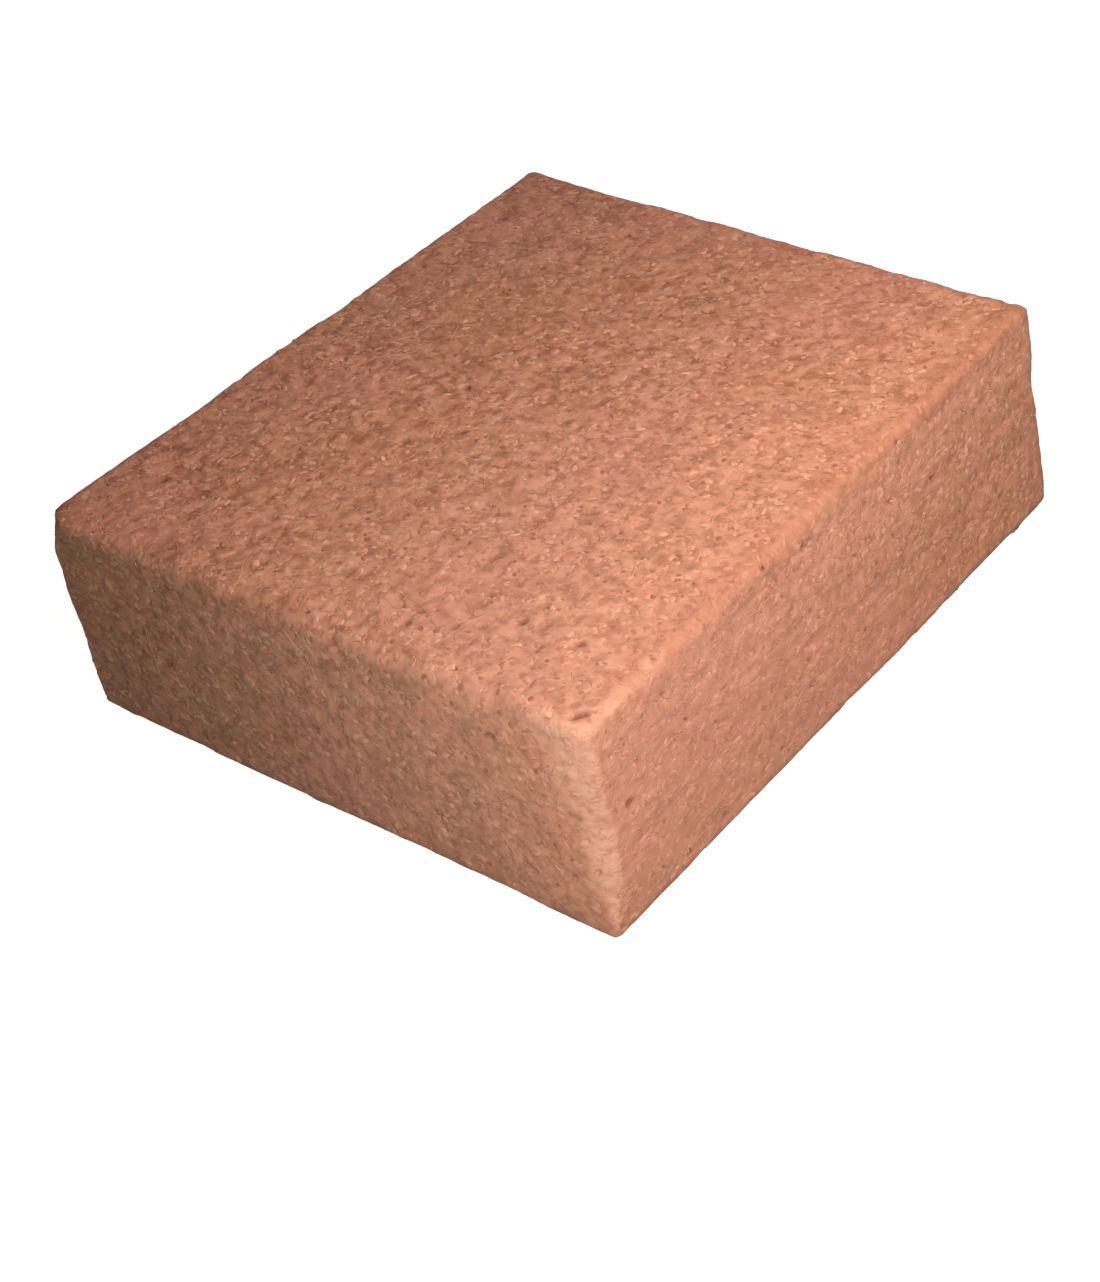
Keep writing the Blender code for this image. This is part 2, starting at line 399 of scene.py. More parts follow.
# %% [markdown]
# ## Pores
# Where a lump of pith has dropped out, a small hole is left. A dozen of them can be told
# apart in the picture, and are put where they are. The rest are strewn by chance. Each is pressed
# in like a thumb in dough: the nearer a point is to the middle, the deeper it goes. How deep it
# went is kept on the mesh, so that the finish can paint shade into the hole, darker where deeper.

# %% Press the pores
# Where the pores that can be told apart are, then for them, for the pit by the near corner and
# for those by chance: the least and greatest radius and depth
PLAIN_PORES = (
    (-0.043, -0.005, 0.101),
    (0.135, -0.021, 0.089),
    (0.080, -0.120, 0.101),
    (0.107, -0.120, 0.101),
    (0.041, -0.140, 0.101),
    (0.141, -0.140, 0.053),
    (-0.040, -0.047, 0.101),
    (0.094, -0.160, 0.080),
    (0.009, 0.056, 0.101),
    (0.141, 0.070, 0.064),
    (-0.119, 0.117, 0.101),
)
PLAIN_RADIUS = (0.0019, 0.0026)
PLAIN_DEPTH = (0.0017, 0.0024)
CORNER_PIT = ((0.1292, -0.1528, 0.101), (0.1314, -0.1508, 0.101), (0.1330, -0.1492, 0.100))
PIT_RADIUS = (0.0017, 0.0022)
PIT_DEPTH = (0.0018, 0.0023)
SMALL_PORES = 520
SMALL_RADIUS = (0.0009, 0.0020)
SMALL_DEPTH = (0.0004, 0.0014)
LOWEST_PORE = 0.003


def normals_of(mesh):
    normals = np.empty(len(mesh.vertices) * 3, np.float32)
    mesh.vertex_normals.foreach_get("vector", normals)
    return normals.reshape(-1, 3).astype(float)


def press_pores(piece, chance):
    places, normals = points_of(piece.data), normals_of(piece.data)
    tree = kdtree.KDTree(len(places))
    for index, place in enumerate(places):
        tree.insert(place, index)
    tree.balance()
    open_air = np.flatnonzero(places[:, 2] > LOWEST_PORE)
    pores = [(place, PLAIN_RADIUS, PLAIN_DEPTH) for place in PLAIN_PORES]
    pores += [(place, PIT_RADIUS, PIT_DEPTH) for place in CORNER_PIT]
    for index in chance.choice(open_air, SMALL_PORES, replace=False):
        pores.append((places[index], SMALL_RADIUS, SMALL_DEPTH))
    sunk = np.zeros(len(places))
    for place, radii, depths in pores:
        centre = tree.find(place)[0]
        radius = chance.uniform(*radii)
        depth = chance.uniform(*depths)
        for _, index, away in tree.find_range(centre, radius):
            sunk[index] = max(sunk[index], depth * (1 - (away / radius) ** 2))
    set_points(piece.data, places - normals * sunk[:, None])
    return sunk


chance = np.random.default_rng(5)
sunk = press_pores(skin, chance)
print("deepest pore, mm:", round(1000 * float(sunk.max()), 2))

# %% [markdown]
# Some of the finish has to know where it is on the block: in a pore, where shade is painted; on
# the worn edges; on the near upright edge and the ridge from it, where a highlight is painted pale;
# on the rounded edge from the top to the right side and at the foot, where shade is painted; along
# the rims that are painted darker; in a wide round the near corner, which is paler; or on the left
# side, which is painted darker as shade, more olive towards its far end and more blotched. Each of
# these marks is a number on every point of the mesh, which the material reads by its name. The
# fibres and flecks that are laid on later get the same marks, so that they change tone with the pith.

# %% How far in from each side a point lies
SIDES = {"left": (0, -1), "right": (0, 1), "front": (1, -1), "back": (1, 1), "top": (2, 1)}
FACING = 0.9


def side_terms(places, axis):
    """What a side's place along its axis is fitted with, from the two other axes."""
    first, second = np.delete(places, axis, axis=1).T
    return np.column_stack([np.ones(len(places)), first, second, first * second])


def gap_to(side, places):
    """How far in from a side of the block, as it really leans, the places are."""
    axis, sign = SIDES[side]
    return sign * (side_terms(places, axis) @ lean[side] - places[:, axis])


places, normals = points_of(skin.data), normals_of(skin.data)
lean = {}
for side, (axis, sign) in SIDES.items():
    facing = sign * normals[:, axis] > FACING
    terms = side_terms(places[facing], axis)
    lean[side] = np.linalg.lstsq(terms, places[facing, axis], rcond=None)[0]
print("sides, mm:", {side: round(1000 * float(terms[0]), 1) for side, terms in lean.items()})

# %% Painted shade at the foot, and darker rims
# How far in the darkening reaches from a rim, how strong it is there, how far up the painted
# contact shade reaches at the foot, and the pairs of sides that meet in a darkened rim
RIM_DARK_REACH = 0.0052
RIM_SHARE = 0.65
FOOT_REACH = 0.0042
DARKENED_RIMS = (("left", "top"), ("back", "top"), ("left", "front"), ("right", "back"))


def foot_shade_rim_dark_share(places):
    """1 at the foot, as painted contact shade, and less along the listed rims, which are painted
    darker.
    """
    gaps = {side: gap_to(side, places) for side in SIDES}
    shares = [1 - places[:, 2] / FOOT_REACH]
    for first, second in DARKENED_RIMS:
        shares.append(RIM_SHARE * (1 - np.maximum(gaps[first], gaps[second]) / RIM_DARK_REACH))
    return np.max(shares, axis=0)


print("soiled points:", int((foot_shade_rim_dark_share(places) > 0).sum()))

# %% What is rubbed pale, and the painted highlight by the near corner
EDGE_RUB = 0.25
EDGE_RUB_REACH = 0.008
# On the near upright edge, how far round it on to the right side the pale band, a painted
# highlight, reaches: at the foot, and what is added for each metre of height. Then its reach on to
# the left side, by height
BAND_FOOT = 0.001
BAND_SPREAD = 0.31
BAND_FADE = 0.0012
BAND_REACH = (
    (0.0, 0.0),
    (0.008, 0.0035),
    (0.027, 0.009),
    (0.045, 0.010),
    (0.063, 0.008),
    (0.101, 0.005),
)
# On the ridge from that corner to the back, where a pale highlight line is painted: how far in it
# lies, how far it reaches in and down, and from where and over what length it fades
RIDGE_HIGHLIGHT = 0.7
RIDGE_IN = 0.003
RIDGE_REACH = 0.006
RIDGE_DROP = 0.008
RIDGE_LENGTH = 0.030
RIDGE_FADE = 0.060
# Pale spots near the near corner that can be told apart, painted as highlight: place and radius
SPOT_HIGHLIGHT = 1.1
PALE_SPOTS = (
    (0.1345, -0.1462, 0.101, 0.0045),
    (0.1365, -0.1160, 0.100, 0.0040),
    (0.1335, -0.1080, 0.100, 0.0035),
    (0.1410, -0.1320, 0.073, 0.0035),
)


def near_spots(places, spots):
    """1 in the middle of each spot that is listed, falling to 0 at its radius."""
    share = np.zeros(len(places))
    for *place, radius in spots:
        away = np.linalg.norm(places - np.array(place), axis=1)
        share = np.maximum(share, 1 - away / radius)
    return share


def wear_and_highlight_share(places):
    """1 on the near edge and the spots, painted pale as a highlight, less on the ridge and along the
    other edges, which are worn pale.
    """
    from_right, from_front = HALF[0] - places[:, 0], HALF[1] + places[:, 1]
    from_top = TOP - places[:, 2]
    edges = EDGE_RUB * edge_nearness(places, EDGE_RUB_REACH) * rising(from_right, 0.020)
    band = BAND_FOOT + BAND_SPREAD * places[:, 2]
    left_reach = np.interp(places[:, 2], *zip(*BAND_REACH))
    near_edge = np.clip(1.7 - 1.5 * from_right / band, 0, 1)
    near_edge *= np.clip((left_reach - from_front) / BAND_FADE + 0.5, 0, 1)
    ridge = falling(np.abs(from_right - RIDGE_IN), RIDGE_REACH) * falling(from_top, RIDGE_DROP)
    ridge *= falling(from_front - RIDGE_LENGTH, RIDGE_FADE)
    spots = SPOT_HIGHLIGHT * near_spots(places, PALE_SPOTS)
    return np.max([edges, near_edge, RIDGE_HIGHLIGHT * ridge, spots], axis=0)


print("rubbed points:", int((wear_and_highlight_share(places) > 0.5).sum()))

# %% The painted shade on the rounded edge from the top to the right side
# How evenly a point has to lie between both sides, and how near: the mark is full up to a quarter
# of the width and 0.6 of the reach, and gone one more width or reach further on. Then where along
# the edge it starts, and over what length it grows
TURN_WIDTH = 0.012
TURN_REACH = 0.010
TURN_START = 0.010
TURN_FADE = 0.050


def edge_shade_share(places):
    """1 on the turn from the top to the right side, past the near corner."""
    from_right, from_front, from_top = [gap_to(side, places) for side in ("right", "front", "top")]
    turning = np.clip(1.25 - np.abs(from_right - from_top) / TURN_WIDTH, 0, 1)
    turning *= np.clip(1.6 - np.maximum(from_right, from_top) / TURN_REACH, 0, 1)
    return turning * rising(from_front - TURN_START, TURN_FADE)


print("handled points:", int((edge_shade_share(places) > 0.5).sum()))

# %% Keep the marks on the skin
# Over how much of its edges the left side's marks fade, then where along it, from the near corner,
# its painted shade and its olive tone grow, then how far the paler tone reaches from the near
# corner, and how much of it the smoother right side loses
LEFT_REACH = 0.010
SHADE_FADE = 0.050
OLIVE_START = 0.04
OLIVE_FADE = 0.18
PALE_CORNER_REACH = 0.24
PALE_CORNER_LOSS = 0.45


def keep_mark(mesh, name, shares):
    mark = mesh.attributes.new(name, "FLOAT", "POINT")
    mark.data.foreach_set("value", shares.clip(0, 1).astype(np.float32))


def keep_place_marks(mesh):
    """The marks that go by place alone, and so are the same on the skin and on what lies on it."""
    places = points_of(mesh)
    on_left = falling(HALF[1] + places[:, 1], LEFT_REACH) * rising(TOP - places[:, 2], LEFT_REACH)
    keep_mark(mesh, "wear_and_highlight", wear_and_highlight_share(places))
    keep_mark(mesh, "painted_edge_shade", edge_shade_share(places))
    keep_mark(mesh, "foot_shade_rim_dark", foot_shade_rim_dark_share(places))
    keep_mark(mesh, "smoother", right_share_of(places))
    keep_mark(mesh, "shaded", on_left * rising(HALF[0] - places[:, 0], SHADE_FADE))
    keep_mark(mesh, "olive", on_left * rising(OLIVE_START - places[:, 0], OLIVE_FADE) ** 2)


keep_place_marks(skin.data)
keep_mark(skin.data, "hollow", sunk / SMALL_DEPTH[1])
# Paler towards the near corner, and less so on the smoother right side
from_corner = np.linalg.norm(places - np.array((HALF[0], -HALF[1], TOP)), axis=1)
paler_near_corner = (1 - from_corner / PALE_CORNER_REACH) * (1 - PALE_CORNER_LOSS * right_share_of(places))
keep_mark(skin.data, "paler_near_corner", paler_near_corner)
skin.data.polygons.foreach_set("use_smooth", np.ones(len(skin.data.polygons), bool))
print("marks:", [mark.name for mark in skin.data.attributes if mark.domain == "POINT"])

# %% [markdown]
# ## The finish of the pith
# Coir is matt and never one colour. Under the fibres lies reddish brown pith in darker and
# lighter crumbs, with patches that are pinker or more olive where the husks came from different
# nuts. Fine fibres too thin to model are drawn in the finish. A Voronoi pattern splits the flat
# sheet into cells, each cell turns a slim ellipse by an angle of its own, and three such layers at
# different sizes make a mat. Along the edges the pith is rubbed pale, and on the near upright edge a
# pale highlight is painted. Shade is painted into the pores, on the rounded edge from the top to
# the right side, on the left side and at the foot.


# %% Node helpers
def add_node(tree, kind, **settings):
    made = tree.nodes.new(kind)
    for setting, value in settings.items():
        setattr(made, setting, value)
    return made


def number(tree, operation, first, second=None):
    """A Math node on two inputs, each of them a socket or a plain number."""
    made = add_node(tree, "ShaderNodeMath", operation=operation)
    for slot, value in enumerate((first, second)):
        if isinstance(value, (int, float)):
            made.inputs[slot].default_value = value
        elif value is not None:
            tree.links.new(value, made.inputs[slot])
    return made.outputs[0]


def times(tree, value, factor):
    return number(tree, "MULTIPLY", value, factor)


def sum_of(tree, first, second):
    return number(tree, "ADD", first, second)


def read_mark(tree, name):
    """The number that the mesh keeps under that name."""
    return add_node(tree, "ShaderNodeAttribute", attribute_name=name).outputs["Fac"]


def blend_colours(tree, share, first, second, blend_type="MIX"):
    """Mixes two colours, each of them a socket or three numbers, by a share."""
    made = add_node(tree, "ShaderNodeMix", data_type="RGBA", blend_type=blend_type)
    for slot, value in ((0, share), (6, first), (7, second)):
        if isinstance(value, (int, float)):
            made.inputs[slot].default_value = value
        elif isinstance(value, tuple):
            made.inputs[slot].default_value = (*value, 1)
        else:
            tree.links.new(value, made.inputs[slot])
    return made.outputs[2]


def noise_at(tree, vector, scale, detail=2.0, roughness=0.5):
    made = add_node(tree, "ShaderNodeTexNoise")
    made.inputs["Scale"].default_value = scale
    made.inputs["Detail"].default_value = detail
    made.inputs["Roughness"].default_value = roughness
    tree.links.new(vector, made.inputs["Vector"])
    return made


def stretch(tree, value, start, end):
    """Maps start to end on to 0 to 1, and cuts off what is outside."""
    made = add_node(tree, "ShaderNodeMapRange")
    made.inputs["From Min"].default_value = start
    made.inputs["From Max"].default_value = end
    tree.links.new(value, made.inputs["Value"])
    return made.outputs["Result"]


# %% One layer of fine fibres as a node group
def fibre_layer_group():
    """Slim ellipses, one in each cell of a flat Voronoi pattern, each turned by its own angle."""
    tree = bpy.data.node_groups.new("fine_fibres", "ShaderNodeTree")
    face = tree.interface
    face.new_socket("Place", in_out="INPUT", socket_type="NodeSocketVector")
    face.new_socket("Cells", in_out="INPUT", socket_type="NodeSocketFloat")
    face.new_socket("Slimness", in_out="INPUT", socket_type="NodeSocketFloat")
    face.new_socket("Shift", in_out="INPUT", socket_type="NodeSocketVector")
    face.new_socket("Fibre", in_out="OUTPUT", socket_type="NodeSocketFloat")
    given = add_node(tree, "NodeGroupInput")
    bent = noise_at(tree, given.outputs["Place"], 160.0, 1.0)
    sway = add_node(tree, "ShaderNodeVectorMath", operation="MULTIPLY_ADD")
    sway.inputs[1].default_value = (0.006, 0.006, 0.0)
    tree.links.new(bent.outputs["Color"], sway.inputs[0])
    tree.links.new(given.outputs["Place"], sway.inputs[2])
    scaled = add_node(tree, "ShaderNodeVectorMath", operation="SCALE")
    tree.links.new(sway.outputs[0], scaled.inputs[0])
    tree.links.new(given.outputs["Cells"], scaled.inputs["Scale"])
    moved = add_node(tree, "ShaderNodeVectorMath", operation="ADD")
    tree.links.new(scaled.outputs[0], moved.inputs[0])
    tree.links.new(given.outputs["Shift"], moved.inputs[1])
    cell = add_node(tree, "ShaderNodeTexVoronoi", voronoi_dimensions="2D", feature="F1")
    cell.inputs["Scale"].default_value = 1.0
    tree.links.new(moved.outputs[0], cell.inputs["Vector"])
    from_middle = add_node(tree, "ShaderNodeVectorMath", operation="SUBTRACT")
    tree.links.new(moved.outputs[0], from_middle.inputs[0])
    tree.links.new(cell.outputs["Position"], from_middle.inputs[1])
    luck = add_node(tree, "ShaderNodeSeparateColor")
    tree.links.new(cell.outputs["Color"], luck.inputs[0])
    turned = add_node(tree, "ShaderNodeVectorRotate", rotation_type="Z_AXIS")
    tree.links.new(from_middle.outputs[0], turned.inputs["Vector"])
    tree.links.new(times(tree, luck.outputs[0], math.pi), turned.inputs["Angle"])
    parts = add_node(tree, "ShaderNodeSeparateXYZ")
    tree.links.new(turned.outputs[0], parts.inputs[0])
    along = times(tree, parts.outputs["X"], 2.0)
    aside = times(tree, parts.outputs["Y"], given.outputs["Slimness"])
    squares = sum_of(tree, times(tree, along, along), times(tree, aside, aside))
    inside = stretch(tree, squares, 1.0, 0.10)
    strength = stretch(tree, luck.outputs[1], 0.15, 0.95)
    outcome = add_node(tree, "NodeGroupOutput")
    tree.links.new(times(tree, inside, strength), outcome.inputs["Fibre"])
    return tree


fibre_layer = fibre_layer_group()
print("nodes in a layer:", len(fibre_layer.nodes))

# %% Colours, and how much of each
DEEP = (0.330, 0.112, 0.055)
MIDDLING = (0.480, 0.180, 0.100)
LIGHT = (0.600, 0.256, 0.155)
PINK = (0.590, 0.220, 0.150)
OLIVE = (0.460, 0.205, 0.095)
FIBRE_PALE = (0.730, 0.370, 0.235)
# Pale wear on the edges, and the painted highlight on the near edge, its ridge and spots
PALE_WEAR_AND_HIGHLIGHT = (0.740, 0.395, 0.265)
# The paler tone round the near corner
NEAR_CORNER_PALE = (0.660, 0.340, 0.235)
# Painted shade on the rounded edge from the top to the right side
EDGE_SHADE = (0.380, 0.145, 0.080)
# Painted contact shade at the foot, and the colour of the darker rims
FOOT_SHADE_RIM_DARK = (0.190, 0.115, 0.078)
EVENED = (0.520, 0.208, 0.122)
SHADED = (0.91, 0.97, 0.94)
OLIVE_TINT = (0.90, 0.93, 0.72)
BLOT_DARK = (0.88, 0.93, 0.89)
BLOT_LIGHT = (1.10, 1.05, 1.08)
# Painted shade in the pores and pinholes
PORE_SHADE = (0.150, 0.048, 0.024)
# How much of each goes over what lies under it, at the most. The mixes for the pale edges lay wear
# and a painted highlight; those for the rounded edge and the holes lay painted shade
MIXES = {
    "grit": 0.20,
    "pink": 0.45,
    "olive": 0.30,
    "fibres": 0.28,
    "worn_and_lit": 0.68,
    "paler_near_corner": 0.32,
    "painted_edge_shade": 0.50,
    "hole": 0.64,
    "pinholes": 0.15,
    "strands worn": 0.60,
    "strands evened": 0.45,
}
print("mixes:", len(MIXES))


# %% The tones that belong to a place, painted shade among them
def place_tints(tree, coloured):
    """Lays the tones that belong to a place on the block over any colour."""
    # Painted shade on the rounded edge from the top to the right side
    painted_edge_shade = read_mark(tree, "painted_edge_shade")
    coloured = blend_colours(tree, times(tree, painted_edge_shade, MIXES["painted_edge_shade"]), coloured, EDGE_SHADE)
    # Painted shade on the left side, and its olive tone towards the far end
    for name, tint in (("shaded", SHADED), ("olive", OLIVE_TINT)):
        coloured = blend_colours(tree, read_mark(tree, name), coloured, tint, "MULTIPLY")
    solid = add_node(tree, "ShaderNodeTexCoord").outputs["Object"]
    cloudy = stretch(tree, noise_at(tree, solid, 105.0, 2.0, 0.6).outputs["Fac"], 0.36, 0.64)
    blotted = blend_colours(tree, cloudy, BLOT_DARK, BLOT_LIGHT)
    coloured = blend_colours(tree, read_mark(tree, "shaded"), coloured, blotted, "MULTIPLY")
    # Painted contact shade at the foot, and darker rims, broken by a noise
    broken = stretch(tree, noise_at(tree, solid, 130.0, 2.0).outputs["Fac"], 0.30, 0.62)
    broken = sum_of(tree, times(tree, broken, 0.60), 0.30)
    return blend_colours(tree, times(tree, read_mark(tree, "foot_shade_rim_dark"), broken), coloured, FOOT_SHADE_RIM_DARK)


# %% The ground of the pith
# For each noise: its scale, detail and roughness
PITH_NOISES = {
    "crumbs": (235.0, 1.0, 0.40),
    "clods": (120.0, 1.0, 0.5),
    "grit": (800.0, 1.0, 0.5),
    "patches": (11.0, 2.0, 0.5),
    "blotches": (62.0, 2.0, 0.5),
}


def pith_noises(tree):
    solid = add_node(tree, "ShaderNodeTexCoord").outputs["Object"]
    return {
        name: noise_at(tree, solid, *values).outputs["Fac"] for name, values in PITH_NOISES.items()
    }


def pith_ground(tree, noises, smoother):
    """Crumbs from dark to light, evener on the smoother side, with patches of other tones."""
    both = sum_of(tree, times(tree, noises["crumbs"], 0.7), times(tree, noises["clods"], 0.3))
    mottled = stretch(tree, both, 0.36, 0.58)
    evened = sum_of(tree, times(tree, stretch(tree, both, 0.18, 0.78), 0.9), 0.05)
    share = add_node(tree, "ShaderNodeMix")
    for slot, value in ((0, smoother), (2, mottled), (3, evened)):
        tree.links.new(value, share.inputs[slot])
    ground = blend_colours(tree, share.outputs[0], DEEP, LIGHT)
    gritty = times(tree, stretch(tree, noises["grit"], 0.40, 0.70), MIXES["grit"])
    ground = blend_colours(tree, gritty, ground, LIGHT)
    pinker = times(tree, stretch(tree, noises["patches"], 0.50, 0.68), MIXES["pink"])
    ground = blend_colours(tree, pinker, ground, PINK)
    greener = times(tree, stretch(tree, noises["patches"], 0.48, 0.32), MIXES["olive"])
    ground = blend_colours(tree, greener, ground, OLIVE)
    rough = number(tree, "SUBTRACT", 0.36, times(tree, smoother, 0.18))
    darker = times(tree, stretch(tree, noises["blotches"], 0.50, 0.36), rough)
    return blend_colours(tree, darker, ground, DEEP)


# %% The mat of fine fibres, and the pinholes
# For each layer of the mat: cells to a metre, slimness, and its shift from the others
FIBRE_LAYERS = (
    (130.0, 9.0, (0.0, 0.0, 0.0)),
    (200.0, 6.5, (3.7, 8.1, 0.0)),
    (330.0, 4.5, (9.3, 2.4, 0.0)),
)
PINHOLE_SCALE = 210.0


def fibre_mat(tree):
    sheet = add_node(tree, "ShaderNodeUVMap", uv_map=MAP).outputs[0]
    flat = add_node(tree, "ShaderNodeVectorMath", operation="SCALE")
    flat.inputs["Scale"].default_value = MAP_SIDE
    tree.links.new(sheet, flat.inputs[0])
    mat = 0.0
    for cells, slimness, shift in FIBRE_LAYERS:
        layer = add_node(tree, "ShaderNodeGroup", node_tree=fibre_layer)
        layer.inputs["Cells"].default_value = cells
        layer.inputs["Slimness"].default_value = slimness
        layer.inputs["Shift"].default_value = shift
        tree.links.new(flat.outputs[0], layer.inputs["Place"])
        mat = number(tree, "MAXIMUM", layer.outputs["Fibre"], mat)
    return mat


def pinhole_dots(tree):
    """Dots of chance sizes, one in each cell of a Voronoi pattern at most."""
    dots = add_node(tree, "ShaderNodeTexVoronoi")
    dots.inputs["Scale"].default_value = PINHOLE_SCALE
    tree.links.new(add_node(tree, "ShaderNodeTexCoord").outputs["Object"], dots.inputs["Vector"])
    luck = add_node(tree, "ShaderNodeSeparateColor")
    tree.links.new(dots.outputs["Color"], luck.inputs[0])
    reach = number(tree, "SUBTRACT", times(tree, luck.outputs[0], 0.34), dots.outputs["Distance"])
    return stretch(tree, reach, -0.06, 0.10)


# %% The pith, put together
def pith_bump(tree, noises, mat, pinholes, smoother):
    rise = sum_of(tree, times(tree, noises["crumbs"], 0.9), times(tree, noises["grit"], 0.10))
    rise = sum_of(tree, rise, times(tree, mat, 0.08))
    rise = number(tree, "SUBTRACT", rise, times(tree, pinholes, 0.12))
    rise = times(tree, rise, number(tree, "SUBTRACT", 1.0, times(tree, smoother, 0.60)))
    bump = add_node(tree, "ShaderNodeBump")
    bump.inputs["Strength"].default_value = 0.45
    bump.inputs["Distance"].default_value = 0.0008
    tree.links.new(rise, bump.inputs["Height"])
    return bump.outputs[0]


def pith_material():
    material, shader = new_material("pressed_pith", MIDDLING, 0.93)
    shader.inputs["Specular IOR Level"].default_value = 0.25
    tree = material.node_tree
    noises, smoother = pith_noises(tree), read_mark(tree, "smoother")
    mat, pinholes = fibre_mat(tree), pinhole_dots(tree)
    coloured = pith_ground(tree, noises, smoother)
    coloured = blend_colours(tree, times(tree, mat, MIXES["fibres"]), coloured, FIBRE_PALE)
    flecked = sum_of(tree, times(tree, noises["blotches"], 0.4), times(tree, noises["crumbs"], 0.6))
    # Pale wear along the edges, and a painted highlight on the near upright edge, its ridge and spots
    worn_and_lit = times(tree, read_mark(tree, "wear_and_highlight"), stretch(tree, flecked, 0.32, 0.56))
    coloured = blend_colours(tree, times(tree, worn_and_lit, MIXES["worn_and_lit"]), coloured, PALE_WEAR_AND_HIGHLIGHT)
    # Paler towards the near corner
    paler_near_corner = times(tree, read_mark(tree, "paler_near_corner"), MIXES["paler_near_corner"])
    coloured = blend_colours(tree, paler_near_corner, coloured, NEAR_CORNER_PALE)
    coloured = place_tints(tree, coloured)
    # Painted shade in the pores, darker the deeper, and in the pinholes
    hole = times(tree, read_mark(tree, "hollow"), MIXES["hole"])
    coloured = blend_colours(tree, hole, coloured, PORE_SHADE)
    coloured = blend_colours(tree, times(tree, pinholes, MIXES["pinholes"]), coloured, PORE_SHADE)
    tree.links.new(coloured, shader.inputs["Base Color"])
    tree.links.new(pith_bump(tree, noises, mat, pinholes, smoother), shader.inputs["Normal"])
    return material


skin.data.materials.clear()
skin.data.materials.append(pith_material())
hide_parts("coir_block")
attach(skin, "root")
print("skin dressed")

# %% [markdown]
# ## Fibres, flecks and grains
# A hand lens shows thousands of fibre ends pressed flat in the pith. Each kind is modelled once,
# small and slim, and copied many times over into one mesh. A copy isn't only moved: every ring of
# its points is set down on the skin by itself, so that the fibre bends over the lumps and round
# the worn edges as a real one does. On the top they lie any way. On the sides they lie mostly
# level, because the press squeezed them flat.


# %% A slim strand, modelled once
def strand(name, around, rings):
    """A closed rod along X from -0.5 to 0.5, one unit wide and high, with pointed ends."""
    start_clean()
    bpy.ops.mesh.primitive_cylinder_add(vertices=around, radius=0.5, depth=1, end_fill_type="NGON")
    made = bpy.context.object
    made.name = name
    made.rotation_euler = (0, math.pi / 2, 0)
    bpy.ops.object.transform_apply(location=False, rotation=True, scale=False)
    bpy.ops.object.mode_set(mode="EDIT")
    bpy.ops.mesh.select_mode(type="EDGE")
    bpy.ops.mesh.select_all(action="DESELECT")
    bpy.ops.object.mode_set(mode="OBJECT")
    for edge in made.data.edges:
        ends = [made.data.vertices[index].co for index in edge.vertices]
        edge.select = abs(ends[0].x - ends[1].x) > 0.5
    bpy.ops.object.mode_set(mode="EDIT")
    bpy.ops.mesh.subdivide(number_cuts=rings)
    for end in (-1, 1):
        select_points(made, lambda place: end * place.x > 0.49)
        bpy.ops.object.mode_set(mode="EDIT")
        bpy.ops.mesh.merge(type="CENTER")
    bpy.ops.object.mode_set(mode="OBJECT")
    return made


def select_points(piece, wanted):
    """Selects the points whose place is wanted, and nothing else, and stays in object mode."""
    bpy.ops.object.mode_set(mode="EDIT")
    bpy.ops.mesh.select_mode(type="VERT")
    bpy.ops.mesh.select_all(action="DESELECT")
    bpy.ops.object.mode_set(mode="OBJECT")
    for vertex in piece.data.vertices:
        vertex.select = wanted(vertex.co)


fleck_form = strand("fleck_form", 4, 3)
fibre_form = strand("fibre_form", 3, 4)
thread_form = strand("thread_form", 3, 20)
start_clean()
bpy.ops.mesh.primitive_ico_sphere_add(subdivisions=1, radius=0.5)
grain_form = bpy.context.object
grain_form.name = "grain_form"
FORMS = (fleck_form, fibre_form, thread_form, grain_form)
start_clean()
for form in (fibre_form, thread_form):
    form.select_set(True)
bpy.ops.object.shade_smooth()
for form in FORMS:
    form.data.calc_loop_triangles()
    print(form.name, "triangles:", len(form.data.loop_triangles))

# %% Where on the skin things lie
# Nothing lies lower than this, where the painted foot shade and darker rims pass this, or this near
# to a listed pore
FOOT_CLEAR = 0.0022
RIM_DARK_CLEAR = 0.3
PIT_CLEAR = 0.0048
PORE_CLEAR = 0.0032
KEPT_CLEAR = [(*place, PIT_CLEAR) for place in CORNER_PIT]
KEPT_CLEAR += [(*place, PORE_CLEAR) for place in PLAIN_PORES]

surface = BVHTree.FromPolygons(
    [vertex.co for vertex in skin.data.vertices],
    [face.vertices for face in skin.data.polygons],
)


def random_spots(count, chance):
    """Random points on the skin, off its foot, its darker rims and plain pores, and their normals."""
    mesh = skin.data
    areas = np.empty(len(mesh.polygons), np.float32)
    mesh.polygons.foreach_get("area", areas)
    centres = np.empty(len(mesh.polygons) * 3, np.float32)
    mesh.polygons.foreach_get("center", centres)
    centres = centres.reshape(-1, 3).astype(float)
    shares = areas * (centres[:, 2] > FOOT_CLEAR) * (foot_shade_rim_dark_share(centres) < RIM_DARK_CLEAR)
    shares *= near_spots(centres, KEPT_CLEAR) == 0
    picked = chance.choice(len(areas), count, p=shares / shares.sum())
    normals = np.empty(len(mesh.polygons) * 3, np.float32)
    mesh.polygons.foreach_get("normal", normals)
    jitter = chance.uniform(-CELL / 2, CELL / 2, (count, 3))
    return centres[picked] + jitter, normals.reshape(-1, 3)[picked].astype(float)


def unit(vectors):
    return vectors / np.linalg.norm(vectors, axis=-1, keepdims=True)


